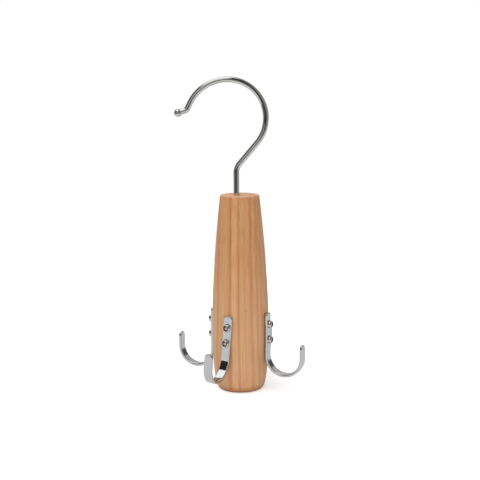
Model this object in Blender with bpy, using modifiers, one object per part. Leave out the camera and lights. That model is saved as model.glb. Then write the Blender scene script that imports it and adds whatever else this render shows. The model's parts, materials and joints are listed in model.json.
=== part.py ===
"""Multi-hook hanger: a turned wooden body, a swivelling wire hook to hang it by, and four J hooks screwed round it.

Metres, +Z up. The Z axis is the axis of the turned body and z = 0 is its flat foot. The four J hooks stand
along -Y (front), +X (right), +Y (back) and -X (left).
"""

from math import asin, atan2, cos, pi, radians, sin

import bmesh
import bpy
from mathutils import Matrix, Vector
from mathutils.geometry import interpolate_bezier

# Turned wooden body
body_height = 0.1195
body_top_radius = 0.01185
body_belly_radius = 0.0172
body_belly_height = 0.040
body_foot_radius = 0.0125
body_top_edge_radius = 0.0005
# How far the outline runs on along each end's own direction before it bends, as shares of the stretch.
top_run_share = 0.33
top_flare_share = 0.56
belly_rise_share = 0.28
belly_fall_share = 0.60
foot_flare_share = 0.78

# Wire of the hanging hook, from its foot in the body up to the ball at its end
wire_radius = 0.00175
wire_ball_radius = 0.00245
stem_offset = 0.0019
stem_depth = 0.028
stem_exposed = 0.01335
stem_bend_radius = 0.0083
stem_bend_angle = radians(40.2)
neck_length = 0.0162
crown_radius = 0.0229
crown_angle = radians(138.8)
nose_radius = 0.0253
nose_angle = radians(56.1)
nose_length = 0.0027
lip_bend_radius = 0.0026
lip_bend_angle = radians(47)
lip_length = 0.0042
hook_plane_angle = radians(25.8)

# Swivel: a brad driven across the body lies in a groove turned round the stem
groove_radius = 0.00095
groove_height = 0.0022
groove_flank = 0.0003
groove_above_end = 0.0060
brad_radius = 0.0008
brad_length = 0.0190
brad_point_length = 0.0014
brad_head_radius = 0.0012
brad_head_height = 0.0008
brad_sink = 0.0002

# Strip that each J hook is bent from
strip_width = 0.0054
strip_thickness = 0.00175
strip_edge_radius = 0.00025
plate_length = 0.0263
plate_corner_radius = 0.0016
hook_bend_radius = 0.01135
hook_tip_length = 0.0086
hook_bottom_height = 0.01015
front_hook_lean = radians(5.2)

# Pan-head wood screws, two to a hook
screw_head_radius = 0.00236
screw_head_rim = 0.0005
screw_head_height = 0.0021
screw_thread_radius = 0.00125
screw_core_radius = 0.00095
screw_length = 0.012
screw_plain_length = 0.0040
screw_point_length = 0.0025
screw_thread_turns = 5
# Where a turn of the thread reaches its root and its crest, as shares of the pitch.
thread_root_share = 1 / 3
thread_crest_share = 5 / 6
screw_top_inset = 0.0071
screw_spacing = 0.0095
cross_length = 0.0030
cross_width = 0.00085
cross_depth = 0.0010

# Clearances
seat_gap = 0.0003
bore_clearance = 0.00035
hole_clearance = 0.0002
cut_overrun = 0.002
weld_distance = 0.000001

# Fineness of the round shapes
body_steps = 48
outline_steps = 10
edge_steps = 3
wire_bevel_resolution = 4
wire_arc_step = radians(9)
wire_arc_fewest_steps = 3
ball_steps = 8
ball_pole_angle = radians(8)
strip_bend_steps = 14
strip_corner_steps = 4
strip_end_steps = 12
screw_steps = 12
hole_steps = 16
dome_steps = 4
bore_steps = 24
shading_angle = radians(35)

# Places worked out from the sizes above
plate_inner_radius = body_belly_radius + seat_gap
plate_middle_radius = plate_inner_radius + strip_thickness / 2
screw_seat_radius = plate_inner_radius + strip_thickness + seat_gap
bend_centre_height = hook_bottom_height + strip_thickness / 2 + hook_bend_radius
plate_top_height = bend_centre_height + plate_length
bend_length = pi * hook_bend_radius
blank_length = plate_length + bend_length + hook_tip_length
screw_places = {
    "upper": screw_top_inset,
    "lower": screw_top_inset + screw_spacing,
}
lean_centre_height = plate_top_height - screw_top_inset - screw_spacing / 2
screw_hole_radius = screw_thread_radius + hole_clearance
stem_bottom_height = body_height - stem_depth
bore_radius = wire_radius + bore_clearance
groove_middle_height = stem_bottom_height + groove_above_end + groove_height / 2
brad_offset = groove_radius + seat_gap + brad_radius

hook_directions = {
    "front": radians(-90),
    "right": 0,
    "back": radians(90),
    "left": radians(180),
}
hook_leans = {"front": front_hook_lean}


def clear_scene():
    """Removes whatever the scene starts with."""
    for obj in list(bpy.data.objects):
        bpy.data.objects.remove(obj, do_unlink=True)


def make_collection(name):
    """Links a new collection to the scene."""
    collection = bpy.data.collections.new(name)
    bpy.context.scene.collection.children.link(collection)
    return collection


def make_material(name, colour, metallic, roughness):
    """A Principled material of one colour."""
    material = bpy.data.materials.new(name)
    material.use_nodes = True
    shader = material.node_tree.nodes["Principled BSDF"]
    shader.inputs["Base Color"].default_value = (*colour, 1)
    shader.inputs["Metallic"].default_value = metallic
    shader.inputs["Roughness"].default_value = roughness
    return material


def add_object(name, data, collection, parent=None):
    """Links a new object that shows the given data."""
    obj = bpy.data.objects.new(name, data)
    collection.objects.link(obj)
    obj.parent = parent
    return obj


def add_guide(name, data, cutters, parent=None):
    """A cutter: drawn as wires, and left out of the finished part."""
    obj = add_object(name, data, cutters, parent)
    obj.display_type = "WIRE"
    obj.hide_render = True
    return obj


def shade(mesh):
    """Smooth shading with the real corners kept."""
    mesh.shade_smooth()
    mesh.set_sharp_from_angle(angle=shading_angle)


def evaluated_mesh(obj):
    """The object's shape with its modifiers or its curve settings applied, as a mesh with welded seams."""
    bpy.context.view_layer.update()
    graph = bpy.context.evaluated_depsgraph_get()
    mesh = bpy.data.meshes.new_from_object(obj.evaluated_get(graph))
    shape = bmesh.new()
    shape.from_mesh(mesh)
    bmesh.ops.remove_doubles(shape, verts=shape.verts, dist=weld_distance)
    shape.to_mesh(mesh)
    shape.free()
    return mesh


def arc(centre, radius, start, end, steps):
    """Points along an arc, from the start angle to the end angle, both included."""
    angles = [start + (end - start) * step / steps for step in range(steps + 1)]
    return [Vector((centre[0] + radius * cos(a), centre[1] + radius * sin(a))) for a in angles]


def turned_object(name, profile, steps, collection):
    """A profile of (radius, height) points, read down the outer side, turned round its Z axis."""
    mesh = bpy.data.meshes.new(name)
    shape = bmesh.new()
    points = [shape.verts.new((radius, 0, height)) for radius, height in profile]
    for above, below in zip(points, points[1:]):
        shape.edges.new((above, below))
    shape.to_mesh(mesh)
    shape.free()
    obj = add_object(name, mesh, collection)
    turn = obj.modifiers.new("turn", "SCREW")
    turn.axis = "Z"
    turn.steps = steps
    turn.render_steps = steps
    turn.use_smooth_shade = True
    turn.use_merge_vertices = True
    turn.merge_threshold = weld_distance
    return obj


def cut(obj, cutter):
    """Takes the cutter's shape out of the object."""
    modifier = obj.modifiers.new("cut by " + cutter.name, "BOOLEAN")
    modifier.operation = "DIFFERENCE"
    modifier.solver = "EXACT"
    modifier.object = cutter


def cylinder_mesh(name, radius, bottom, top):
    """A closed cylinder round the Z axis."""
    mesh = bpy.data.meshes.new(name)
    shape = bmesh.new()
    place = Matrix.Translation((0, 0, (bottom + top) / 2))
    bmesh.ops.create_cone(
        shape,
        cap_ends=True,
        segments=bore_steps,
        radius1=radius,
        radius2=radius,
        depth=top - bottom,
        matrix=place,
    )
    shape.to_mesh(mesh)
    shape.free()
    return mesh


def body_profile():
    """The body's outline from the middle of its top, over the edge, down its side and across its foot."""
    edge = body_top_edge_radius
    top_edge = arc((body_top_radius - edge, body_height - edge), edge, pi / 2, 0, edge_steps)
    shoulder = top_edge[-1]
    belly = Vector((body_belly_radius, body_belly_height))
    foot = Vector((body_foot_radius, 0))
    upper_height = shoulder.y - belly.y
    flare = top_flare_share * (belly.x - shoulder.x)
    upper_side = interpolate_bezier(
        shoulder,
        shoulder + Vector((flare, -top_run_share * upper_height)),
        belly + Vector((0, belly_rise_share * upper_height)),
        belly,
        outline_steps,
    )
    lower_side = interpolate_bezier(
        belly,
        belly - Vector((0, belly_fall_share * belly.y)),
        foot + Vector((foot_flare_share * (belly.x - foot.x), 0)),
        foot,
        outline_steps,
    )
    middle_top = Vector((0, body_height))
    middle_foot = Vector((0, 0))
    return [middle_top, *top_edge, *upper_side[1:], *lower_side[1:], middle_foot]


def body_radius_at(height):
    """Radius of the turned body's outline at a height."""
    side = [point for point in body_profile() if point.x > 0]
    for above, below in zip(side, side[1:]):
        if above.y >= height >= below.y and above.y > below.y:
            share = (above.y - height) / (above.y - below.y)
            return above.x + share * (below.x - above.x)
    raise ValueError("no side at this height")


def stem_axis():
    """Where the stem's axis stands, beside the body's own."""
    return -stem_offset * Vector((cos(hook_plane_angle), sin(hook_plane_angle), 0))


def make_body(parts, wood):
    """The turned wooden body, before its holes are bored."""
    body = turned_object("wooden_body", body_profile(), body_steps, parts)
    body.data.materials.append(wood)
    return body


class Route:
    """A path in the hanging hook's plane, drawn from straights and arcs."""

    def __init__(self, start, heading):
        self.points = [Vector(start)]
        self.heading = heading

    def straight(self, length):
        """Goes on in the present direction."""
        step = Vector((cos(self.heading), sin(self.heading))) * length
        self.points.append(self.points[-1] + step)

    def bend(self, radius, angle):
        """Turns along an arc, to the left where the angle is positive."""
        side = 1 if angle > 0 else -1
        to_centre = Vector((-sin(self.heading), cos(self.heading))) * radius * side
        centre = self.points[-1] + to_centre
        start = atan2(-to_centre.y, -to_centre.x)
        steps = max(wire_arc_fewest_steps, round(abs(angle) / wire_arc_step))
        self.points += arc(centre, radius, start, start + angle, steps)[1:]
        self.heading += angle


def wire_route():
    """The wire's middle line above the groove, and the direction in which it ends."""
    route = Route((0, stem_bottom_height), pi / 2)
    route.straight(stem_depth + stem_exposed)
    route.bend(stem_bend_radius, -stem_bend_angle)
    route.straight(neck_length)
    route.bend(crown_radius, crown_angle)
    route.bend(nose_radius, nose_angle)
    route.straight(nose_length)
    route.bend(lip_bend_radius, -lip_bend_angle)
    route.straight(lip_length)
    return route


def groove_points():
    """Points and radii of the grooved length at the stem's foot."""
    low = groove_middle_height - groove_height / 2
    high = groove_middle_height + groove_height / 2
    return [
        (Vector((0, stem_bottom_height)), wire_radius),
        (Vector((0, low - groove_flank)), wire_radius),
        (Vector((0, low)), groove_radius),
        (Vector((0, high)), groove_radius),
        (Vector((0, high + groove_flank)), wire_radius),
    ]


def ball_points(route):
    """Points and radii of the ball that ends the wire, centred where the route ends."""
    forward = Vector((cos(route.heading), sin(route.heading)))
    centre = route.points[-1]
    start = pi - asin(wire_radius / wire_ball_radius)
    angles = [start + (ball_pole_angle - start) * step / ball_steps for step in range(ball_steps + 1)]
    return [(centre + forward * wire_ball_radius * cos(a), wire_ball_radius * sin(a)) for a in angles]


def make_swivel_hook(parts, chrome):
    """The hanging hook: one wire with a groove near its foot and a ball at its end."""
    route = wire_route()
    middle = [(point, wire_radius) for point in route.points[1:-1]]
    points = groove_points() + middle + ball_points(route)
    curve = bpy.data.curves.new("swivel_hook", "CURVE")
    curve.dimensions = "3D"
    curve.twist_mode = "MINIMUM"
    curve.bevel_depth = wire_radius
    curve.bevel_resolution = wire_bevel_resolution
    curve.use_fill_caps = True
    spline = curve.splines.new("POLY")
    spline.points.add(len(points) - 1)
    for knot, (place, radius) in zip(spline.points, points):
        knot.co = (place.x, 0, place.y, 1)
        knot.radius = radius / wire_radius
    spline.use_smooth = True
    curve.materials.append(chrome)
    hook = add_object("swivel_hook", curve, parts)
    hook.location = stem_axis()
    hook.rotation_euler = (0, 0, hook_plane_angle)
    return hook


def brad_profile():
    """The brad's outline from the middle of its head to its point."""
    neck = -brad_head_height
    shoulder = brad_point_length - brad_length
    return [
        (0, 0),
        (brad_head_radius, 0),
        (brad_head_radius, neck / 2),
        (brad_radius, neck),
        (brad_radius, shoulder),
        (0, -brad_length),
    ]


def place_across(obj, sink):
    """Turns an object's Z axis to point out of the back of the body, past the stem, with its origin sunk in it."""
    out = Vector((-sin(hook_plane_angle), cos(hook_plane_angle), 0))
    side = Vector((cos(hook_plane_angle), sin(hook_plane_angle), 0))
    depth = body_radius_at(groove_middle_height) - sink
    line = stem_axis() + side * brad_offset
    obj.location = line + out * depth + Vector((0, 0, groove_middle_height))
    obj.rotation_euler = out.to_track_quat("Z", "Y").to_euler()


def make_swivel_brad(parts, steel):
    """The headed pin that lies in the stem's groove, so that the hook turns but can't be pulled out."""
    brad = turned_object("swivel_brad", brad_profile(), screw_steps, parts)
    brad.data.materials.append(steel)
    place_across(brad, brad_sink)
    return brad


def bore_body_for_swivel(body, cutters):
    """The stem's blind bore, and the brad's hole across it with a recess for its head."""
    bore_mesh = cylinder_mesh(
        "stem_bore", bore_radius, stem_bottom_height - seat_gap, body_height + cut_overrun
    )
    bore = add_guide("stem_bore", bore_mesh, cutters)
    bore.location = stem_axis()
    cut(body, bore)
    hole_mesh = cylinder_mesh(
        "brad_hole", brad_radius + hole_clearance, -brad_length - seat_gap, cut_overrun
    )
    recess_mesh = cylinder_mesh(
        "brad_recess", brad_head_radius + hole_clearance, -brad_head_height - seat_gap, cut_overrun
    )
    for mesh in (hole_mesh, recess_mesh):
        cutter = add_guide(mesh.name, mesh, cutters)
        place_across(cutter, brad_sink)
        cut(body, cutter)


def blank_outline():
    """The strip's flat outline: x across it, y along it from the plate's end to the round tip."""
    half = strip_width / 2
    corner = plate_corner_radius
    left_corner = arc((corner - half, corner), corner, pi, 3 * pi / 2, strip_corner_steps)
    right_corner = arc((half - corner, corner), corner, -pi / 2, 0, strip_corner_steps)
    tip = arc((0, blank_length - half), half, 0, pi, strip_end_steps)
    return left_corner + right_corner + tip


def add_loop(curve, outline):
    """Adds a closed flat outline to a curve."""
    spline = curve.splines.new("POLY")
    spline.points.add(len(outline) - 1)
    for knot, point in zip(spline.points, outline):
        knot.co = (point.x, point.y, 0, 1)
    spline.use_cyclic_u = True


def blank_mesh(cutters):
    """The flat strip, pierced for its screws."""
    curve = bpy.data.curves.new("strip_blank", "CURVE")
    curve.dimensions = "2D"
    curve.fill_mode = "BOTH"
    curve.extrude = strip_thickness / 2
    add_loop(curve, blank_outline())
    for place in screw_places.values():
        add_loop(curve, arc((0, place), screw_hole_radius, 0, 2 * pi, hole_steps)[:-1])
    blank = add_guide("strip_blank", curve, cutters)
    mesh = evaluated_mesh(blank)
    bpy.data.objects.remove(blank, do_unlink=True)
    return mesh


def bent_place(point):
    """Where a point of the flat strip goes when the strip is bent: x out from the body's axis, y across, z up."""
    across, along, out = point
    bent = min(max(along - plate_length, 0), bend_length)
    angle = bent / hook_bend_radius
    reach = hook_bend_radius + out
    before = max(plate_length - along, 0)
    after = max(along - plate_length - bend_length, 0)
    radial = plate_middle_radius + hook_bend_radius - reach * cos(angle)
    height = bend_centre_height - reach * sin(angle) + before + after
    return Vector((radial, across, height))


def bent_strip_mesh(cutters):
    """The strip bent into a J."""
    mesh = blank_mesh(cutters)
    shape = bmesh.new()
    shape.from_mesh(mesh)
    for step in range(strip_bend_steps + 1):
        along = plate_length + bend_length * step / strip_bend_steps
        everything = shape.verts[:] + shape.edges[:] + shape.faces[:]
        bmesh.ops.bisect_plane(
            shape, geom=everything, dist=weld_distance, plane_co=(0, along, 0), plane_no=(0, 1, 0)
        )
    for vert in shape.verts:
        vert.co = bent_place(vert.co)
    bmesh.ops.recalc_face_normals(shape, faces=shape.faces)
    shape.to_mesh(mesh)
    shape.free()
    shade(mesh)
    return mesh


def make_j_hooks(parts, cutters, nickel):
    """The four J hooks, each turned to its side of the body."""
    mesh = bent_strip_mesh(cutters)
    mesh.materials.append(nickel)
    hooks = {}
    for side, direction in hook_directions.items():
        hook = add_object("j_hook_" + side, mesh, parts)
        centre = Matrix.Translation((0, 0, lean_centre_height))
        lean = centre @ Matrix.Rotation(-hook_leans.get(side, 0), 4, "X") @ centre.inverted()
        hook.matrix_world = Matrix.Rotation(direction, 4, "Z") @ lean
        soften = hook.modifiers.new("soften edges", "BEVEL")
        soften.width = strip_edge_radius
        soften.segments = 1
        soften.limit_method = "ANGLE"
        soften.angle_limit = shading_angle
        hooks[side] = hook
    return hooks


def screw_profile():
    """A screw's outline from the top of its domed head, down the plain shank and the thread, to its point."""
    dome_height = screw_head_height - screw_head_rim
    dome_radius = (screw_head_radius**2 + dome_height**2) / (2 * dome_height)
    dome_centre = (0, screw_head_height - dome_radius)
    dome_end = atan2(screw_head_rim - dome_centre[1], screw_head_radius)
    dome = arc(dome_centre, dome_radius, pi / 2, dome_end, dome_steps)
    head = [Vector((0, screw_head_height)), *dome[1:], Vector((screw_head_radius, 0))]
    thread_start = -screw_plain_length
    thread_end = screw_point_length - screw_length
    pitch = (thread_start - thread_end) / screw_thread_turns
    thread = [Vector((screw_thread_radius, 0)), Vector((screw_thread_radius, thread_start))]
    for turn in range(screw_thread_turns):
        root = thread_start - pitch * turn
        thread.append(Vector((screw_core_radius, root - thread_root_share * pitch)))
        thread.append(Vector((screw_thread_radius, root - thread_crest_share * pitch)))
    shoulder = Vector((screw_core_radius, thread_end))
    return head + thread + [shoulder, Vector((0, -screw_length))]


def cross_outline():
    """The cross recess seen from above, one quarter at a time."""
    arm, half = cross_length / 2, cross_width / 2
    quarter = [Vector((arm, -half)), Vector((arm, half)), Vector((half, half))]
    outline = []
    for turn in range(4):
        spin = Matrix.Rotation(turn * pi / 2, 2)
        outline += [spin @ point for point in quarter]
    return outline


def cross_cutter(cutters):
    """The cross recess as a closed shape, standing through the top of the head."""
    curve = bpy.data.curves.new("cross_recess", "CURVE")
    curve.dimensions = "2D"
    curve.fill_mode = "BOTH"
    curve.extrude = (cross_depth + cut_overrun) / 2
    add_loop(curve, cross_outline())
    drawn = add_guide("cross_outline", curve, cutters)
    mesh = evaluated_mesh(drawn)
    bpy.data.objects.remove(drawn, do_unlink=True)
    cutter = add_guide("cross_recess", mesh, cutters)
    cutter.location = (0, 0, screw_head_height - cross_depth + curve.extrude)
    return cutter


def screw_mesh(cutters):
    """One finished screw, its origin under its head and its head towards +Z."""
    turned = turned_object("screw_turning", screw_profile(), screw_steps, cutters)
    cut(turned, cross_cutter(cutters))
    mesh = evaluated_mesh(turned)
    mesh.name = "screw"
    bpy.data.objects.remove(turned, do_unlink=True)
    shade(mesh)
    return mesh


def place_on_plate(obj, hook, place):
    """Puts an object on a hook's plate with its Z axis pointing out of it."""
    obj.parent = hook
    obj.location = (screw_seat_radius, 0, plate_top_height - place)
    obj.rotation_euler = (0, pi / 2, 0)


def make_screws(parts, cutters, steel, hooks, body):
    """Two screws through each hook's plate into the body, with their pilot holes."""
    mesh = screw_mesh(cutters)
    mesh.materials.append(steel)
    hole_mesh = cylinder_mesh(
        "pilot_hole", screw_hole_radius, -screw_length - seat_gap, cut_overrun
    )
    for side, hook in hooks.items():
        for row, place in screw_places.items():
            name = side + "_" + row
            place_on_plate(add_object("screw_" + name, mesh, parts), hook, place)
            pilot = add_guide("pilot_" + name, hole_mesh, cutters)
            place_on_plate(pilot, hook, place)
            cut(body, pilot)


def main():
    """Builds the hanger."""
    clear_scene()
    parts = make_collection("multi_hook_hanger")
    cutters = make_collection("cutters")
    wood = make_material("oiled_pine", (0.60, 0.36, 0.19), 0, 0.5)
    chrome = make_material("chromed_wire", (0.62, 0.62, 0.62), 1, 0.12)
    nickel = make_material("bright_plated_strip", (0.66, 0.67, 0.69), 1, 0.2)
    steel = make_material("nickel_plated_screw", (0.60, 0.56, 0.51), 1, 0.25)
    body = make_body(parts, wood)
    make_swivel_hook(parts, chrome)
    make_swivel_brad(parts, steel)
    bore_body_for_swivel(body, cutters)
    hooks = make_j_hooks(parts, cutters, nickel)
    make_screws(parts, cutters, steel, hooks, body)


main()
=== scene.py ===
"""Dresses the multi-hook hanger: a turned pine body, a chromed wire to hang it by, and four plated J hooks.

Metres, +Z up. The body's own axis is the Z axis and z = 0 is its foot. The J hooks stand along -Y (front),
+X (right), +Y (back) and -X (left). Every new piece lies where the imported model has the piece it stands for.
"""

import json
from math import asin, cos, pi, radians, sin

import bmesh
import bpy
from mathutils import Matrix, Vector
from mathutils.geometry import interpolate_bezier


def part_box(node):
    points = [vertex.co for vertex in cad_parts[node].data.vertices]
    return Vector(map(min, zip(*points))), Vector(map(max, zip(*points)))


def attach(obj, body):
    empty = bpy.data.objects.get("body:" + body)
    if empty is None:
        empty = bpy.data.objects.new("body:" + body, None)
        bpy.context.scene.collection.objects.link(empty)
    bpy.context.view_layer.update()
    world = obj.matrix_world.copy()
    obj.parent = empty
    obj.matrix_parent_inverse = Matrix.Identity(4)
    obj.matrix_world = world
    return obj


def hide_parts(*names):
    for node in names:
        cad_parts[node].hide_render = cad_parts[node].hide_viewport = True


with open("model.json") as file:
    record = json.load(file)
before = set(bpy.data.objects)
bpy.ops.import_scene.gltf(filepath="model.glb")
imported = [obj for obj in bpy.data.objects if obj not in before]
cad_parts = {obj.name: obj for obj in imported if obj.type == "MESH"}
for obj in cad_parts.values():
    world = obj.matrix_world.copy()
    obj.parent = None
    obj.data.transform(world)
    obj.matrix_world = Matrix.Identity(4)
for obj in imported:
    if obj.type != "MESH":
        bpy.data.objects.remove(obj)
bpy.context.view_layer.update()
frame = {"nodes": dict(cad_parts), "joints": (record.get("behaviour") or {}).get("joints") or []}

bl_info = {
    "name": "Multi-hook hanger",
    "version": (1, 0, 0),
    "blender": (4, 5, 0),
    "location": "3D View > Sidebar > Hanger",
    "description": "Models and finishes the pieces of a multi-hook hanger, and sets up its studio",
    "category": "Object",
}

# Which way each J hook stands from the body, and the screws in its plate
hook_directions = {"front": radians(-90), "right": 0, "back": radians(90), "left": radians(180)}
screw_rows = ("upper", "lower")
# Where each screw's cross stopped turning when it was tight
screw_turns = {
    "front": (radians(38), radians(12)),
    "right": (radians(5), radians(40)),
    "back": (radians(62), radians(27)),
    "left": (radians(71), radians(18)),
}

# Fineness and tolerances of the meshes
body_steps = 128
outline_steps = 24
edge_steps = 6
wire_sides = 32
wire_bend_step = radians(3)
fewest_bend_steps = 3
ball_steps = 14
ball_pole_angle = radians(3)
strip_bend_steps = 48
strip_corner_steps = 10
strip_edge_steps = 4
screw_steps = 40
dome_steps = 10
bore_steps = 64
sharp_angle = radians(32)
weld_distance = 0.000002
cut_overrun = 0.002


def linear(hex_colour):
    """An sRGB hex colour as linear red, green, blue and alpha."""
    light = []
    for place in (1, 3, 5):
        channel = int(hex_colour[place : place + 2], 16) / 255
        light.append(channel / 12.92 if channel <= 0.04045 else ((channel + 0.055) / 1.055) ** 2.4)
    return (*light, 1)


def length(name, description, default):
    """A length that a user can change."""
    return bpy.props.FloatProperty(
        name=name, description=description, default=default, min=0, precision=5, unit="LENGTH"
    )


def angle(name, description, default):
    """An angle that a user can change."""
    return bpy.props.FloatProperty(
        name=name, description=description, default=default, precision=2, unit="ROTATION"
    )


def share(name, description, default):
    """A share of some size that a user can change."""
    return bpy.props.FloatProperty(
        name=name, description=description, default=default, min=0, max=1, subtype="FACTOR"
    )


def colour(name, description, default):
    """A colour that a user can change, given as sRGB hex."""
    return bpy.props.FloatVectorProperty(
        name=name, description=description, default=linear(default), size=4, min=0, max=1, subtype="COLOR"
    )


class BodySettings(bpy.types.PropertyGroup):
    """Sizes and colours of the turned body."""

    top_radius: length("Top radius", "Radius of the flat top", 0.01185)
    belly_height: length("Belly height", "Height of the widest place above the foot", 0.040)
    foot_radius: length("Foot radius", "Radius of the flat foot", 0.0125)
    top_edge_radius: length("Top edge", "Rounding of the top's edge", 0.0005)
    top_run_share: share("Top run", "How far the top's slope runs on, of the upper height", 0.33)
    top_flare_share: share("Top flare", "How far the top's slope leans out, of the taper", 0.56)
    belly_rise_share: share("Belly rise", "How far the belly runs up, of the upper height", 0.28)
    belly_fall_share: share("Belly fall", "How far the belly runs down, of its height", 0.60)
    foot_flare_share: share("Foot flare", "How far the foot runs out, of its rounding", 0.78)
    bore_clearance: length("Bore clearance", "Room round the wire in its bore", 0.00035)
    bore_depth: length("Bore depth", "Depth of the wire's bore", 0.0283)
    earlywood: colour("Earlywood", "Pale wood at the start of a year's growth", "#DDB188")
    midwood: colour("Midwood", "Wood in the middle of a year's growth", "#DAAA80")
    latewood: colour("Latewood", "Dark line at the end of a year's growth", "#CB865C")
    # Painted shade and sheen: multiplied in from the start height up to the full height, this tint darkens and
    # warms the upper wood, so that the lower body looks paler, as if lit by the bright floor.
    upper_shade_tint: colour("Top tint", "What the oil took from the wood's colour near the top", "#F2E8D7")
    upper_shade_start: length("Tint start", "Height at which the top tint begins", 0.037)
    upper_shade_full: length("Tint full", "Height from which the top tint is full", 0.085)
    top_grain: colour("Top grain", "Cut ends of the fibres on the sanded top", "#E3B491")
    # Colour of the pin knot. The same colour darkens the lowest few millimetres of the wood as painted shade
    # where the foot meets the floor.
    knot_and_foot_shade: colour("Foot grain", "Cut ends of the fibres at the foot, dark with oil", "#9C5822")
    # Height at which that painted shade at the foot begins. It is fullest at the floor.
    foot_shade_height: length("Foot grain height", "Height up to which the fibres are cut across", 0.0042)
    heart_distance: length("Heart distance", "How far the middle of the trunk was from the axis", 0.120)
    spread_share: share("Ring spread", "How much further apart the rings are at the foot", 0.22)
    spread_middle: length("Spread middle", "How far left of the axis a ring runs plumb", 0.003)
    wander: length("Wander", "How far the rings wander from side to side", 0.0005)
    wander_width: length("Wander width", "Width over which they wander once", 0.012)
    wander_length: length("Wander length", "Length over which they wander once", 0.045)
    fibre_width: length("Fibre width", "Width of the fine streaks along the grain", 0.0008)
    fibre_length: length("Fibre length", "Length of the fine streaks", 0.040)
    blotch_width: length("Blotch width", "Width of the oil's soft blotches", 0.0035)
    blotch_length: length("Blotch length", "Length of the oil's soft blotches", 0.030)
    knot_radius: length("Knot radius", "Radius of the pin knot", 0.0012)


class WireSettings(bpy.types.PropertyGroup):
    """Sizes and colours of the hanging hook."""

    wire_radius: length("Wire radius", "Half the wire's thickness", 0.00175)
    ball_radius: length("Ball radius", "Radius of the ball at the wire's end", 0.00245)
    stem_depth: length("Stem depth", "Length of the stem inside the body", 0.028)
    stem_exposed: length("Stem above body", "Straight length above the body", 0.01335)
    stem_bend_radius: length("Stem bend", "Radius of the first bend", 0.0083)
    stem_bend_angle: angle("Stem bend angle", "Turn of the first bend", radians(40.2))
    neck_length: length("Neck length", "Straight between the first bend and the crown", 0.0162)
    crown_radius: length("Crown radius", "Radius of the crown", 0.0229)
    crown_angle: angle("Crown angle", "Turn of the crown", radians(138.8))
    nose_radius: length("Nose radius", "Radius of the nose", 0.0253)
    nose_angle: angle("Nose angle", "Turn of the nose", radians(56.1))
    nose_length: length("Nose length", "Straight after the nose", 0.0027)
    lip_bend_radius: length("Lip bend", "Radius of the bend before the ball", 0.0026)
    lip_bend_angle: angle("Lip bend angle", "Turn of the bend before the ball", radians(47))
    lip_length: length("Lip length", "Straight into the ball", 0.0042)
    plane_angle: angle("Plane angle", "Turn of the hook's plane from +X", radians(25.8))
    groove_radius: length("Groove radius", "Wire radius in the brad's groove", 0.00095)
    groove_height: length("Groove height", "Height of the brad's groove", 0.0022)
    groove_flank: length("Groove flank", "Height of the groove's slopes", 0.0003)
    groove_above_end: length("Groove above end", "Wire left below the groove", 0.0060)
    chrome: colour("Chrome", "Colour of the chrome plate", "#C4C4C2")


class StripSettings(bpy.types.PropertyGroup):
    """Sizes and colours of the J hooks."""

    thickness: length("Thickness", "Thickness of the strip", 0.00175)
    edge_radius: length("Edge rounding", "Rounding that rolling left on the edges", 0.00055)
    plate_length: length("Plate length", "Straight length against the body", 0.0263)
    plate_corner_radius: length("Plate corners", "Rounding of the plate's corners", 0.0016)
    front_lean: angle("Front hook's lean", "How far the front hook is screwed on out of plumb", radians(5.2))
    hole_radius: length("Hole radius", "Radius of the screws' holes", 0.00145)
    nickel: colour("Nickel", "Colour of the nickel plate", "#C0C1C3")


class ScrewSettings(bpy.types.PropertyGroup):
    """Sizes and colours of the screws and the brad."""

    head_radius: length("Head radius", "Radius of the pan head", 0.00236)
    head_rim: length("Head rim", "Height of the head's upright rim", 0.0005)
    head_height: length("Head height", "Height of the head", 0.0021)
    seat_drop: length("Seat drop", "How far the head reaches down to its plate", 0.00027)
    thread_radius: length("Thread radius", "Radius over the thread", 0.00125)
    core_radius: length("Core radius", "Radius under the thread", 0.00095)
    screw_length: length("Screw length", "Length under the head", 0.012)
    plain_length: length("Plain length", "Length without thread", 0.0040)
    point_length: length("Point length", "Length of the point", 0.0025)
    thread_turns: bpy.props.IntProperty(
        name="Thread turns", description="Turns of the thread", default=5, min=1
    )
    cap_flat_share: share("Head flatness", "How flat the head's top is", 0.72)
    cap_full_share: share("Head fullness", "How full the head's side is", 0.65)
    mouth_radius: length("Recess mouth", "Radius of the recess's round mouth", 0.0020)
    floor_radius: length("Recess floor", "Radius of the recess's floor", 0.0009)
    mouth_depth: length("Mouth depth", "Depth of that floor", 0.0007)
    cross_length: length("Cross length", "Length of the cross in the recess", 0.0034)
    cross_width: length("Cross width", "Width of the cross's bars", 0.0003)
    cross_depth: length("Cross depth", "Depth of the cross", 0.0012)
    cross_taper_share: share("Cross taper", "Size of a bar's floor, of its mouth", 0.6)
    brad_head_radius: length("Brad head", "Radius of the brad's head", 0.0012)
    brad_radius: length("Brad radius", "Radius of the brad", 0.0008)
    brad_head_height: length("Brad head height", "Height of the brad's head", 0.0008)
    brad_point_length: length("Brad point", "Length of the brad's point", 0.0014)
    plate: colour("Screw plate", "Colour of the screws' nickel plate", "#C9C3BA")
    # Near-black colour of the recess: painted shade in the cross and on the mouth's wall.
    recess: colour("Recess", "Dull plate inside the cross recess", "#251B14")
    steel: colour("Brad steel", "Colour of the plain steel", "#A3A09B")


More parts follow.
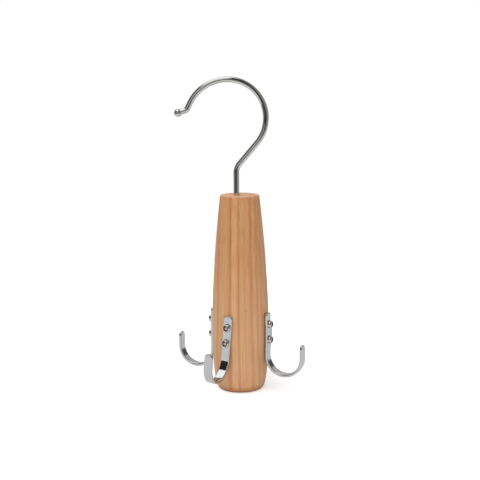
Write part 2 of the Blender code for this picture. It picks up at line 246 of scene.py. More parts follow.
class StudioSettings(bpy.types.PropertyGroup):
    """The camera, the floor and the light."""

    azimuth: angle("Azimuth", "Turn of the camera round the object", radians(25.81))
    elevation: angle("Elevation", "Height of the camera as an angle", radians(9.57))
    roll: angle("Roll", "Turn of the camera about its own axis", radians(0.381))
    distance: length("Distance", "Camera to the point it looks at", 0.65299)
    target_height: length("Target height", "Height of the point it looks at", 0.09196)
    target_offset: length("Target offset", "How far to the right that point is", 0.00004)
    lens: bpy.props.FloatProperty(
        name="Lens", description="Focal length on a 36 mm sensor", default=80.9, unit="CAMERA"
    )
    floor_radius: length("Floor radius", "Radius of the white table", 0.42)
    softbox_size: length("Softbox size", "Side of the softboxes", 0.9)
    softbox_distance: length("Softbox distance", "Object to the softboxes", 0.95)
    paper: colour("Floor", "White table paper", "#F4F4F4")


def settings_of(name):
    """The scene's settings group of this name."""
    return getattr(bpy.context.scene, name)


def add_node(tree, kind, inputs=None, stops=None, **settings):
    """Adds a node, sets its settings and colour stops, and sets or links its inputs."""
    node = tree.nodes.new(kind)
    for name, value in settings.items():
        setattr(node, name, value)
    for socket, value in (inputs or {}).items():
        if isinstance(value, bpy.types.NodeSocket):
            tree.links.new(value, node.inputs[socket])
        else:
            node.inputs[socket].default_value = value
    for place, (position, stop_colour) in enumerate(stops or []):
        elements = node.color_ramp.elements
        element = elements[place] if place < len(elements) else elements.new(position)
        element.position = position
        element.color = stop_colour
    return node


def new_material(name):
    """An empty node material and its tree."""
    material = bpy.data.materials.new(name)
    material.use_nodes = True
    material.node_tree.nodes.clear()
    return material, material.node_tree


def add_surface(tree, inputs):
    """Ends a material's tree with its shader and its output."""
    shader = add_node(tree, "ShaderNodeBsdfPrincipled", inputs)
    add_node(tree, "ShaderNodeOutputMaterial", {"Surface": shader.outputs["BSDF"]})


# The dark line that ends each year's growth: its place across the wood at the top, how far before it the wood
# begins to darken, how dark it is, and how pale the next year's wood is
year_lines = (
    (-0.0154, 0.0012, 0.50, 0.30),
    (-0.0120, 0.0010, 0.65, 0.00),
    (-0.0047, 0.0019, 0.92, 1.00),
    (-0.0002, 0.0012, 0.82, 0.05),
    (0.0031, 0.0012, 0.20, 0.05),
    (0.0066, 0.0014, 0.62, 0.90),
    (0.0093, 0.0011, 0.37, 0.60),
    (0.0113, 0.0010, 0.25, 0.50),
    (0.0143, 0.0012, 0.50, 0.30),
    (0.0173, 0.0012, 0.50, 0.30),
)
# The width in which a dark line ends, how far the drawn rings reach to either side, and how much of a year's
# paleness is left where the next dark line begins
line_end = 0.0010
ring_reach = 0.019
year_fade_share = 0.75
# What the fine streaks and the oil's blotches take from the wood's colour, by the strength of their pattern
streak_tints = ((0.30, "#EBE2D8"), (0.70, "#FFFFFF"))
blotch_tints = ((0.35, "#FFF6EE"), (0.50, "#FFFFFF"), (0.65, "#FAFFF2"))
# The pin knot's place, on the side that faces the camera, and how much of it is at its darkest
knot_place = (0.0030, -0.0167, 0.0518)
knot_core_share = 1 / 3
# How strongly the knot, the cut ends of the fibres on the top and the painted shade at the foot cover the
# grain
knot_cover_share = 0.3
top_cover_share = 0.65
foot_shade_strength = 0.8
# How far upwards a face looks where the top's cut ends begin to show, and where they show in full
top_start_share = 0.6
top_full_share = 0.95
# How many finer copies of itself each pattern holds, and how strong they are in the fibres
soft_detail = 2
polish_detail = 3
fibre_detail = 4
fibre_detail_share = 0.6
# The oiled wood's shine and relief
wood_ior = 1.48
wood_roughness = {"To Min": 0.52, "To Max": 0.42}
fibre_relief = {"Strength": 0.3, "Distance": 0.00003}
# How rough each metal is at its smoothest, how much rougher it gets, and the width of its polishing marks,
# which are drawn wider than real ones, so that they show
metal_skins = {
    "chrome_plated_wire": (0.02, 0.02, 0.004),
    "nickel_plated_strip": (0.035, 0.03, 0.0012),
    "nickel_plated_screw": (0.08, 0.06, 0.0006),
    "recess_painted_shade": (0.45, 0.1, 0.0006),
    "drawn_steel": (0.35, 0.1, 0.0006),
}
polish_relief = {"Strength": 0.1, "Distance": 0.000005}


def mixed(first, second, second_share):
    """A colour between two colours."""
    return tuple(start + (end - start) * second_share for start, end in zip(first, second))


def year_stops(body):
    """Colour stops of the yearly rings, from the pale start of each to the dark line at its end."""
    stops = []
    before = 0
    for line, fade, darkness, paleness in year_lines:
        tone = mixed(body.midwood, body.earlywood, before * year_fade_share)
        dark = mixed(body.midwood, body.latewood, darkness)
        pale = mixed(body.midwood, body.earlywood, paleness)
        for place, shade in zip((line - fade, line, line + line_end), (tone, dark, pale)):
            stops.append(((place + ring_reach) / (2 * ring_reach), shade))
        before = paleness
    return stops


def tint_stops(tints):
    """Colour stops from places and sRGB hex colours."""
    return [(place, linear(tint)) for place, tint in tints]


def along_grain(tree, place, width, stretch, detail, detail_share=0.5):
    """A noisy pattern that is drawn out along the grain."""
    drawn_out = add_node(
        tree, "ShaderNodeMapping", {"Vector": place, "Scale": (1 / width, 1 / width, 1 / stretch)}
    ).outputs["Vector"]
    return add_node(
        tree,
        "ShaderNodeTexNoise",
        {"Vector": drawn_out, "Scale": 1, "Detail": detail, "Roughness": detail_share},
    ).outputs["Fac"]


def ring_place(tree, body, turned, parts):
    """Where a place lies across the drawn rings, from 0 to 1."""
    wandering = along_grain(tree, turned, body.wander_width, body.wander_length, soft_detail)
    wandered = add_node(
        tree,
        "ShaderNodeMath",
        {0: wandering, 1: body.wander, 2: parts.outputs["X"]},
        operation="MULTIPLY_ADD",
    ).outputs[0]
    from_heart = add_node(
        tree, "ShaderNodeMath", {0: wandered, 1: body.heart_distance - body.wander / 2}, operation="ADD"
    ).outputs[0]
    across = add_node(tree, "ShaderNodeCombineXYZ", {"X": from_heart, "Y": parts.outputs["Y"]})
    radius = add_node(
        tree, "ShaderNodeVectorMath", {0: across.outputs["Vector"]}, operation="LENGTH"
    ).outputs["Value"]
    # Towards the foot the trunk was thicker, and its rings lie further apart.
    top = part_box("wooden_body")[1].z
    spread = add_node(
        tree,
        "ShaderNodeMapRange",
        {"Value": parts.outputs["Z"], "From Max": top, "To Min": 1 + body.spread_share, "To Max": 1},
    ).outputs["Result"]
    from_plumb = add_node(
        tree, "ShaderNodeMath", {0: radius, 1: body.heart_distance - body.spread_middle}, operation="SUBTRACT"
    ).outputs[0]
    gathered = add_node(tree, "ShaderNodeMath", {0: from_plumb, 1: spread}, operation="DIVIDE").outputs[0]
    low, high = body.spread_middle - ring_reach, body.spread_middle + ring_reach
    return add_node(
        tree, "ShaderNodeMapRange", {"Value": gathered, "From Min": low, "From Max": high}
    ).outputs["Result"]


def cover_shares(tree, body, turned, height, upward):
    """How strongly the painted shade and sheen higher up, the knot, the top's cut ends and the painted shade
    at the foot cover the grain.
    """
    from_knot = add_node(
        tree, "ShaderNodeVectorMath", {0: turned, 1: knot_place}, operation="DISTANCE"
    ).outputs["Value"]
    knot_core = body.knot_radius * knot_core_share
    ranges = (
        {"Value": height, "From Min": body.upper_shade_start, "From Max": body.upper_shade_full},
        {
            "Value": from_knot,
            "From Min": knot_core,
            "From Max": body.knot_radius,
            "To Min": knot_cover_share,
            "To Max": 0,
        },
        {"Value": upward, "From Min": top_start_share, "From Max": top_full_share, "To Max": top_cover_share},
        {"Value": height, "From Min": body.foot_shade_height, "From Max": 0, "To Max": foot_shade_strength},
    )
    return [add_node(tree, "ShaderNodeMapRange", inputs).outputs["Result"] for inputs in ranges]


def turned_pine(body):
    """Pine, turned, sanded and oiled: straight yearly rings with a dark line at the end of each, fine streaks
    along the grain, cut ends on the top, painted shade and sheen by height and a soft satin shine."""
    material, tree = new_material("turned_oiled_pine")
    place = add_node(tree, "ShaderNodeTexCoord")
    # Seen from the front, the rings stand upright, one beside the other.
    turn = (0, 0, -settings_of("hanger_studio").azimuth)
    turned = add_node(
        tree, "ShaderNodeMapping", {"Vector": place.outputs["Object"], "Rotation": turn}
    ).outputs["Vector"]
    parts = add_node(tree, "ShaderNodeSeparateXYZ", {"Vector": turned})
    facing = add_node(tree, "ShaderNodeSeparateXYZ", {"Vector": place.outputs["Normal"]})
    # The fibres are drawn a little coarser than real ones, so that they show.
    fibres = along_grain(tree, turned, body.fibre_width, body.fibre_length, fibre_detail, fibre_detail_share)
    # Here and there the oil has made the wood a little yellower or redder.
    blotches = along_grain(tree, turned, body.blotch_width, body.blotch_length, soft_detail)
    wood, streaks, warmth = (
        add_node(tree, "ShaderNodeValToRGB", {"Fac": pattern}, stops=stops).outputs["Color"]
        for pattern, stops in (
            (ring_place(tree, body, turned, parts), year_stops(body)),
            (fibres, tint_stops(streak_tints)),
            (blotches, tint_stops(blotch_tints)),
        )
    )
    # By height: painted shade and sheen on the upper wood, and painted shade at the foot where it meets the
    # floor.
    upper_shade_share, knot_share, top_share, foot_shade_mask = cover_shares(
        tree, body, turned, parts.outputs["Z"], facing.outputs["Z"]
    )
    # Sockets 0, 6 and 7 take a layer's share, the colour under it and its own colour.
    for blend, layer_share, layer in (
        ("MULTIPLY", upper_shade_share, body.upper_shade_tint),
        ("MULTIPLY", 1, streaks),
        ("MULTIPLY", 1, warmth),
        ("MIX", knot_share, body.knot_and_foot_shade),
        ("MIX", top_share, body.top_grain),
        ("MIX", foot_shade_mask, body.knot_and_foot_shade),
    ):
        wood = add_node(
            tree, "ShaderNodeMix", {0: layer_share, 6: wood, 7: layer}, data_type="RGBA", blend_type=blend
        ).outputs[2]
    gloss = add_node(tree, "ShaderNodeMapRange", {"Value": fibres, **wood_roughness}).outputs["Result"]
    bump = add_node(tree, "ShaderNodeBump", {"Height": fibres, **fibre_relief}).outputs["Normal"]
    add_surface(tree, {"Base Color": wood, "Roughness": gloss, "Normal": bump, "IOR": wood_ior})
    return material


def plated_metal(name, plate):
    """Plated steel: a mirror-like metal whose shine varies a little with the polish under the plate."""
    material, tree = new_material(name)
    smoothest, spread, mark_width = metal_skins[name]
    place = add_node(tree, "ShaderNodeTexCoord").outputs["Object"]
    polish = add_node(
        tree, "ShaderNodeTexNoise", {"Vector": place, "Scale": 1 / mark_width, "Detail": polish_detail}
    ).outputs["Fac"]
    shine = add_node(
        tree, "ShaderNodeMapRange", {"Value": polish, "To Min": smoothest, "To Max": smoothest + spread}
    ).outputs["Result"]
    bump = add_node(tree, "ShaderNodeBump", {"Height": polish, **polish_relief}).outputs["Normal"]
    add_surface(tree, {"Base Color": plate, "Metallic": 1, "Roughness": shine, "Normal": bump})
    return material


def arc(centre, radius, start, end, steps):
    """Points along an arc, from the start angle to the end angle, both included."""
    turns = [start + (end - start) * step / steps for step in range(steps + 1)]
    return [Vector((centre[0] + radius * cos(turn), centre[1] + radius * sin(turn))) for turn in turns]


def turned_shape(outline, steps):
    """An outline of (radius, height) points turned round the Z axis."""
    shape = bmesh.new()
    points = [shape.verts.new((point[0], 0, point[1])) for point in outline]
    edges = [shape.edges.new(pair) for pair in zip(points, points[1:])]
    bmesh.ops.spin(
        shape, geom=points + edges, cent=(0, 0, 0), axis=(0, 0, 1), angle=2 * pi, steps=steps, use_merge=True
    )
    bmesh.ops.remove_doubles(shape, verts=shape.verts, dist=weld_distance)
    bmesh.ops.recalc_face_normals(shape, faces=shape.faces)
    return shape


def rod_shape(radius, bottom, top):
    """A closed rod along the Z axis, for cutting a hole."""
    shape = bmesh.new()
    bmesh.ops.create_cone(
        shape,
        cap_ends=True,
        segments=bore_steps,
        radius1=radius,
        radius2=radius,
        depth=top - bottom,
        matrix=Matrix.Translation((0, 0, (bottom + top) / 2)),
    )
    return shape


def move_shape(shape, matrix):
    """Moves and turns a whole shape."""
    bmesh.ops.transform(shape, matrix=matrix, verts=shape.verts)


def scene_object(name, data):
    """Puts a mesh, a lamp or a camera into the scene."""
    obj = bpy.data.objects.new(name, data)
    bpy.context.scene.collection.objects.link(obj)
    return obj


def loose_object(shape, name):
    """Shows a shape as an object of its own."""
    mesh = bpy.data.meshes.new(name)
    shape.to_mesh(mesh)
    shape.free()
    return scene_object(name, mesh)


def cut_shape(shape, cutters):
    """Takes the cutters' shapes out of a shape. Their faces' material numbers go to the cut faces."""
    blank = loose_object(shape, "blank")
    tools = [loose_object(cutter, "cutter") for cutter in cutters]
    for tool in tools:
        cut = blank.modifiers.new("cut", "BOOLEAN")
        cut.operation = "DIFFERENCE"
        cut.solver = "EXACT"
        cut.object = tool
    bpy.context.view_layer.update()
    graph = bpy.context.evaluated_depsgraph_get()
    mesh = bpy.data.meshes.new_from_object(blank.evaluated_get(graph))
    if not mesh.polygons:
        raise RuntimeError("a cut left nothing of its piece")
    result = bmesh.new()
    result.from_mesh(mesh)
    for used in (blank, *tools):
        old = used.data
        bpy.data.objects.remove(used, do_unlink=True)
        bpy.data.meshes.remove(old)
    bpy.data.meshes.remove(mesh)
    return result


def finished_piece(shape, name, materials, body, node):
    """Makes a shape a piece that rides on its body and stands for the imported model's own."""
    piece = loose_object(shape, name)
    for material in materials:
        piece.data.materials.append(material)
    piece.data.shade_smooth()
    piece.data.set_sharp_from_angle(angle=sharp_angle)
    even = piece.modifiers.new("even shading", "WEIGHTED_NORMAL")
    even.keep_sharp = True
    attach(piece, body)
    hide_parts(node)
    return piece


class BentStock:
    """Wire or strip that is pushed straight on or bent, in the plane across Y, from its open end."""

    bend_axis = Vector((0, -1, 0))

    def __init__(self, shape, place, heading):
        self.shape = shape
        self.place = Vector(place)
        self.heading = Vector(heading)
        self.end = list(shape.edges)

    def push(self, distance, swell=1):
        """Goes straight on, and swells or narrows the open end."""
        made = bmesh.ops.extrude_edge_only(self.shape, edges=self.end)["geom"]
        verts = [item for item in made if isinstance(item, bmesh.types.BMVert)]
        step = self.heading * distance
        move = Matrix.Translation(self.place + step) @ Matrix.Scale(swell, 4)
        bmesh.ops.transform(self.shape, matrix=move @ Matrix.Translation(-self.place), verts=verts)
        edges = [item for item in made if isinstance(item, bmesh.types.BMEdge)]
        self.end = [edge for edge in edges if set(edge.verts) <= set(verts)]
        self.place = self.place + step

    def bend(self, radius, turn, steps):
        """Goes round a bend, to the left as seen from the front where the turn is positive."""
        left = self.bend_axis.cross(self.heading)
        centre = self.place + left * (radius if turn > 0 else -radius)
        made = bmesh.ops.spin(
            self.shape, geom=self.end, cent=centre, axis=self.bend_axis, angle=turn, steps=steps
        )["geom_last"]
        self.end = [item for item in made if isinstance(item, bmesh.types.BMEdge)]
        spin = Matrix.Rotation(turn, 3, self.bend_axis)
        self.place = centre + spin @ (self.place - centre)
        self.heading = spin @ self.heading

    def close_flat(self):
        """Closes the open end with a face."""
        bmesh.ops.contextual_create(self.shape, geom=self.end)

    def close_round(self, pole):
        """Closes the open end at one point."""
        self.push(0)
        verts = list({vert for edge in self.end for vert in edge.verts})
        bmesh.ops.pointmerge(self.shape, verts=verts, merge_co=pole)


def body_outline(body):
    """The body's outline from the middle of its top, down its side and across its foot."""
    low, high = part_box("wooden_body")
    edge = body.top_edge_radius
    top_edge = arc((body.top_radius - edge, high.z - edge), edge, pi / 2, 0, edge_steps)
    shoulder = top_edge[-1]
    belly = Vector((high.x, body.belly_height))
    foot = Vector((body.foot_radius, low.z))
    upper_height = shoulder.y - belly.y
    taper = belly.x - shoulder.x
    upper_side = interpolate_bezier(
        shoulder,
        shoulder + Vector((body.top_flare_share * taper, -body.top_run_share * upper_height)),
        belly + Vector((0, body.belly_rise_share * upper_height)),
        belly,
        outline_steps,
    )
    lower_side = interpolate_bezier(
        belly,
        belly - Vector((0, body.belly_fall_share * belly.y)),
        foot + Vector((body.foot_flare_share * (belly.x - foot.x), 0)),
        foot,
        outline_steps,
    )
    return [(0, high.z), *top_edge, *upper_side[1:], *lower_side[1:], (0, low.z)]


def stem_place():
    """The swivel's axis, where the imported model's joint has it."""
    swivel = frame["joints"][0]
    return Vector((swivel["pos_m"][0], swivel["pos_m"][1], 0))


def brad_place(screws):
    """Where the brad lies, its head at the origin and its Z axis out of the body's back, and its length."""
    low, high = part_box("swivel_brad")
    plane = settings_of("hanger_wire").plane_angle
    out = Vector((-sin(plane), cos(plane), 0))
    radius = screws.brad_head_radius
    head = Vector((low.x + radius * cos(plane), high.y - radius * sin(plane), (low.z + high.z) / 2))
    brad_length = (high.y - low.y - radius * sin(plane)) / cos(plane)
    return Matrix.Translation(head) @ out.to_track_quat("Z", "Y").to_matrix().to_4x4(), brad_length


class HANGER_OT_wooden_body(bpy.types.Operator):
    """Turns the body and bores it for the wire and the brad"""

    bl_idname = "hanger.wooden_body"
    bl_label = "Wooden body"

    def execute(self, context):
        body = context.scene.hanger_body
        wire = context.scene.hanger_wire
        screws = context.scene.hanger_screws
        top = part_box("wooden_body")[1].z
        bore = rod_shape(wire.wire_radius + body.bore_clearance, top - body.bore_depth, top + cut_overrun)
        bmesh.ops.translate(bore, vec=stem_place(), verts=bore.verts)
        place, brad_length = brad_place(screws)
        recess = rod_shape(screws.brad_head_radius, -brad_length, cut_overrun)
        move_shape(recess, place)
        shape = cut_shape(turned_shape(body_outline(body), body_steps), [bore, recess])
        finished_piece(shape, "turned_body", [turned_pine(body)], "hanger", "wooden_body")
        return {"FINISHED"}


def bend_steps(turn):
    """Steps that keep a bend of the wire round."""
    return max(fewest_bend_steps, round(abs(turn) / wire_bend_step))


def push_groove(stock, wire):
    """The stem's foot, with the groove that the brad lies in."""
    narrowing = wire.groove_radius / wire.wire_radius
    stock.push(wire.groove_above_end - wire.groove_flank)
    stock.push(wire.groove_flank, narrowing)
    stock.push(wire.groove_height)
    stock.push(wire.groove_flank, 1 / narrowing)


def ball_neck(wire):
    """From the ball's centre back to where the wire's skin meets it."""
    return (wire.ball_radius**2 - wire.wire_radius**2) ** 0.5


def push_ball(stock, wire):
    """The ball that ends the wire, from where the wire's skin meets it."""
    pole = stock.place + stock.heading * (ball_neck(wire) + wire.ball_radius)
    start = pi - asin(wire.wire_radius / wire.ball_radius)
    profile = arc((0, 0), wire.ball_radius, start, ball_pole_angle, ball_steps)
    for before, after in zip(profile, profile[1:]):
        stock.push(after.x - before.x, after.y / before.y)
    stock.close_round(pole)


def bent_wire(wire):
    """The hanging hook in the plane across Y, its stem on the Z axis."""
    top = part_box("wooden_body")[1].z
    start = Vector((0, 0, top - wire.stem_depth))
    shape = bmesh.new()
    bmesh.ops.create_circle(
        shape, cap_ends=True, segments=wire_sides, radius=wire.wire_radius, matrix=Matrix.Translation(start)
    )
    stock = BentStock(shape, start, (0, 0, 1))
    push_groove(stock, wire)
    stock.push(top + wire.stem_exposed - stock.place.z)
    stock.bend(wire.stem_bend_radius, -wire.stem_bend_angle, bend_steps(wire.stem_bend_angle))
    stock.push(wire.neck_length)
    stock.bend(wire.crown_radius, wire.crown_angle, bend_steps(wire.crown_angle))
    stock.bend(wire.nose_radius, wire.nose_angle, bend_steps(wire.nose_angle))
    stock.push(wire.nose_length)
    stock.bend(wire.lip_bend_radius, -wire.lip_bend_angle, bend_steps(wire.lip_bend_angle))
    stock.push(wire.lip_length - ball_neck(wire))
    push_ball(stock, wire)
    bmesh.ops.recalc_face_normals(shape, faces=shape.faces)
    return shape


class HANGER_OT_swivel_hook(bpy.types.Operator):
    """Bends the wire that the hanger hangs by"""

    bl_idname = "hanger.swivel_hook"
    bl_label = "Swivel hook"

    def execute(self, context):
        wire = context.scene.hanger_wire
        shape = bent_wire(wire)
        place = Matrix.Translation(stem_place()) @ Matrix.Rotation(wire.plane_angle, 4, "Z")
        move_shape(shape, place)
        # Chrome plate on polished wire mirrors the studio almost sharply.
        chrome = plated_metal("chrome_plated_wire", wire.chrome)
        finished_piece(shape, "bent_wire_hook", [chrome], "hanging_hook", "swivel_hook")
        return {"FINISHED"}


def strip_edges(shape, height, width):
    """The short upright corners of the strip at a height, beyond a width from the plate."""
    corners = []
    for edge in shape.edges:
        first, second = (vert.co for vert in edge.verts)
        level = abs(first.z - height) < weld_distance and abs(second.z - height) < weld_distance
        if level and abs(first.y - second.y) < weld_distance and min(first.x, second.x) > width:
            corners.append(edge)
    return corners


def round_edges(shape, edges, radius, steps):
    """Rounds edges of a shape."""
    bmesh.ops.bevel(
        shape, geom=edges, offset=radius, segments=steps, profile=0.5, affect="EDGES", material=-1
    )


def bent_strip(strip):
    """The right J hook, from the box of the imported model's own."""
    low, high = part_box("j_hook_right")
    half_width = (high.y - low.y) / 2
    bend_radius = (high.x - low.x - strip.thickness) / 2
    shape = bmesh.new()
    start = Vector((low.x + strip.thickness / 2, 0, high.z))
    section = Matrix.Diagonal((strip.thickness / 2, half_width, 1, 1))
    bmesh.ops.create_grid(
        shape, x_segments=1, y_segments=1, size=1, matrix=Matrix.Translation(start) @ section
    )
    stock = BentStock(shape, start, (0, 0, -1))
    stock.push(strip.plate_length)
    bend_height = stock.place.z
    stock.bend(bend_radius, pi, strip_bend_steps)
    stock.push(tip_height() - bend_height)
    stock.close_flat()
    bmesh.ops.recalc_face_normals(shape, faces=shape.faces)
    plate_corners = strip_edges(shape, high.z, 0)
    tip_corners = strip_edges(shape, stock.place.z, start.x + bend_radius)
    round_edges(shape, plate_corners, strip.plate_corner_radius, strip_corner_steps)
    round_edges(shape, tip_corners, half_width, strip_corner_steps)
    bmesh.ops.remove_doubles(shape, verts=shape.verts, dist=weld_distance)
    rims = [edge for edge in shape.edges if edge.is_manifold and edge.calc_face_angle() > sharp_angle]
    round_edges(shape, rims, strip.edge_radius, strip_edge_steps)
    bmesh.ops.recalc_face_normals(shape, faces=shape.faces)
    return shape


def tip_height():
    """Height of the J hooks' tips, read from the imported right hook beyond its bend."""
    low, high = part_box("j_hook_right")
    middle = (low.x + high.x) / 2
    hook = frame["nodes"]["j_hook_right"].data
    return max(vert.co.z for vert in hook.vertices if vert.co.x > middle)


def screw_heights():
    """Height of each row of screws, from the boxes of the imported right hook's."""
    heights = {}
    for row in screw_rows:
        low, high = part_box("screw_right_" + row)
        heights[row] = (low.z + high.z) / 2
    return heights


def hook_matrix(side):
    """Turns something drawn on the right hook to another side, with the front hook's lean."""
    centre = Matrix.Translation((0, 0, sum(screw_heights().values()) / len(screw_rows)))
    lean = settings_of("hanger_strip").front_lean if side == "front" else 0
    turn = Matrix.Rotation(hook_directions[side], 4, "Z")
    return turn @ centre @ Matrix.Rotation(-lean, 4, "X") @ centre.inverted()


class HANGER_OT_j_hooks(bpy.types.Operator):
    """Bends the four J hooks from flat strip"""

    bl_idname = "hanger.j_hooks"
    bl_label = "J hooks"

    def execute(self, context):
        strip = context.scene.hanger_strip
        # Bright nickel plate on rolled strip: a mirror softened by the strip's own grain.
        nickel = plated_metal("nickel_plated_strip", strip.nickel)
        plate_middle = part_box("j_hook_right")[0].x + strip.thickness / 2
        for side in hook_directions:
            drills = []
            for height in screw_heights().values():
                drill = rod_shape(strip.hole_radius, -strip.thickness, strip.thickness)
                across = Matrix.Translation((plate_middle, 0, height)) @ Matrix.Rotation(pi / 2, 4, "Y")
                move_shape(drill, across)
                drills.append(drill)
            shape = cut_shape(bent_strip(strip), drills)
            move_shape(shape, hook_matrix(side))
            finished_piece(shape, "bent_strip_hook_" + side, [nickel], "hanger", "j_hook_" + side)
        return {"FINISHED"}


def screw_outline(screws):
    """A screw's outline from the top of its pan head down to its point."""
    crown = Vector((0, screws.head_height))
    rim = Vector((screws.head_radius, screws.head_rim))
    cap = interpolate_bezier(
        crown,
        crown + Vector((screws.cap_flat_share * screws.head_radius, 0)),
        rim + Vector((0, screws.cap_full_share * (screws.head_height - screws.head_rim))),
        rim,
        dome_steps,
    )
    seat = -screws.seat_drop
    outline = [*cap, (screws.head_radius, seat), (screws.thread_radius, seat)]
    thread_start = -screws.plain_length
    thread_end = screws.point_length - screws.screw_length
    pitch = (thread_start - thread_end) / screws.thread_turns
    root_share, crest_share = 1 / 3, 5 / 6
    outline.append((screws.thread_radius, thread_start))
    for turn in range(screws.thread_turns):
        outline.append((screws.core_radius, thread_start - pitch * (turn + root_share)))
        outline.append((screws.thread_radius, thread_start - pitch * (turn + crest_share)))
    return [*outline, (screws.core_radius, thread_end), (0, -screws.screw_length)]


def recess_bar(screws, turn):
    """One bar of the cross, tapering to its floor. Its faces have the material number of the recess's painted
    shade.
    """
    shape = bmesh.new()
    for vert in bmesh.ops.create_cube(shape, size=1)["verts"]:
        upper = vert.co.z > 0
        swell = 1 if upper else screws.cross_taper_share
        vert.co.x *= screws.cross_length * swell
        vert.co.y *= screws.cross_width * swell
        vert.co.z = screws.head_height + (cut_overrun if upper else -screws.cross_depth)
    bmesh.ops.rotate(shape, cent=(0, 0, 0), matrix=Matrix.Rotation(turn, 3, "Z"), verts=shape.verts)
    for face in shape.faces:
        face.material_index = 1
    return shape


def recess_mouth(screws):
    """The recess's round mouth. Its sloping wall has the material number of the recess's painted shade, its
    floor is bright.
    """
    shape = bmesh.new()
    depth = screws.mouth_depth + cut_overrun
    slope = (screws.mouth_radius - screws.floor_radius) / screws.mouth_depth
    bmesh.ops.create_cone(
        shape,
        cap_ends=True,
        segments=screw_steps,
        radius1=screws.floor_radius,
        radius2=screws.floor_radius + slope * depth,
        depth=depth,
        matrix=Matrix.Translation((0, 0, screws.head_height - screws.mouth_depth + depth / 2)),
    )
    wall_corners = 4
    for face in shape.faces:
        face.material_index = 1 if len(face.verts) == wall_corners else 0
    return shape


class HANGER_OT_screws(bpy.types.Operator):
    """Turns the screws and cuts their cross recesses"""

    bl_idname = "hanger.screws"
    bl_label = "Screws"

    def execute(self, context):
        screws = context.scene.hanger_screws
        # Nickel plate over a cold-formed head: bright, a little warm, with a satin skin.
        plate = plated_metal("nickel_plated_screw", screws.plate)
        # The recess is painted near black and dull: painted shade in the cross and on the mouth's wall.
        recess = plated_metal("recess_painted_shade", screws.recess)
        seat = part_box("screw_right_upper")[1].x - screws.head_height
        for side in hook_directions:
            for row, height in screw_heights().items():
                start = screw_turns[side][screw_rows.index(row)]
                punch = [recess_mouth(screws), recess_bar(screws, start), recess_bar(screws, start + pi / 2)]
                shape = cut_shape(turned_shape(screw_outline(screws), screw_steps), punch)
                place = Matrix.Translation((seat, 0, height)) @ Matrix.Rotation(pi / 2, 4, "Y")
                move_shape(shape, hook_matrix(side) @ place)
                name = side + "_" + row
                skins = [plate, recess]
                finished_piece(shape, "pan_screw_" + name, skins, "hanger", "screw_" + name)
        return {"FINISHED"}


class HANGER_OT_swivel_brad(bpy.types.Operator):
    """Turns the brad that locks the wire in the body"""

    bl_idname = "hanger.swivel_brad"
    bl_label = "Swivel brad"

    def execute(self, context):
        screws = context.scene.hanger_screws
        place, brad_length = brad_place(screws)
        outline = [
            (0, 0),
            (screws.brad_head_radius, 0),
            (screws.brad_head_radius, -screws.brad_head_height / 2),
            (screws.brad_radius, -screws.brad_head_height),
            (screws.brad_radius, screws.brad_point_length - brad_length),
            (0, -brad_length),
        ]
        shape = turned_shape(outline, screw_steps)
        move_shape(shape, place)
        # Steel drawn to wire, without a plate: grey, with a dull shine.
        steel = plated_metal("drawn_steel", screws.steel)
        finished_piece(shape, "locking_brad", [steel], "hanger", "swivel_brad")
        return {"FINISHED"}


def direction(azimuth, elevation):
    """A direction from the object, by its angle round from -Y towards +X and its height."""
    return Vector((sin(azimuth) * cos(elevation), -cos(azimuth) * cos(elevation), sin(elevation)))


def view_axes(studio):
    """The camera's level, right, up and back directions."""
    level = Vector((cos(studio.azimuth), sin(studio.azimuth), 0))
    back = direction(studio.azimuth, studio.elevation)
    upright = back.cross(level)
    right = level * cos(studio.roll) - upright * sin(studio.roll)
    up = upright * cos(studio.roll) + level * sin(studio.roll)
    return level, right, up, back


def add_camera(studio):
    """The camera at the photograph's viewing angle."""
    level, right, up, back = view_axes(studio)
    data = bpy.data.cameras.new("camera")
    data.lens = studio.lens
    camera = scene_object("camera", data)
    target = level * studio.target_offset + Vector((0, 0, studio.target_height))
    turn = Matrix((right, up, back)).transposed()
    camera.matrix_world = Matrix.Translation(target + back * studio.distance) @ turn.to_4x4()
    bpy.context.scene.camera = camera


# Each softbox's angle round the object and its height, and its power in watts
softboxes = {
    "overhead_softbox": (radians(-45), radians(68), 4.6),
    "front_softbox": (radians(27), radians(22), 3.9),
}


def add_softbox(name, studio, towards, power):
    """A square softbox that faces the object's middle. What the metal mirrors of it belongs to the room."""
    data = bpy.data.lights.new(name, "AREA")
    data.size = studio.softbox_size
    data.energy = power
    lamp = scene_object(name, data)
    middle = Vector((0, 0, studio.target_height))
    lamp.matrix_world = (
        Matrix.Translation(middle + towards * studio.softbox_distance)
        @ towards.to_track_quat("Z", "Y").to_matrix().to_4x4()
    )
    lamp.visible_camera = False
    lamp.visible_glossy = False


# The white that the paper and the room show to the camera
plain_white = "#FFFFFF"
# The paper's own white by the distance from the hanger, as the camera sees it and as the metal mirrors it
camera_glow = {"From Min": 0.08, "From Max": 0.5, "To Min": 0.42, "To Max": 0.85}
mirrored_glow = {"From Min": 0.2, "From Max": 0.45, "To Min": 0.08, "To Max": 0}
# The paper's fibres are drawn this wide, which is coarser than real ones
paper_grain = 0.0025
paper_roughness = 0.9
paper_relief = {"Strength": 0.05, "Distance": 0.0001}
# How far the floor lies under the foot
floor_drop = 0.0001


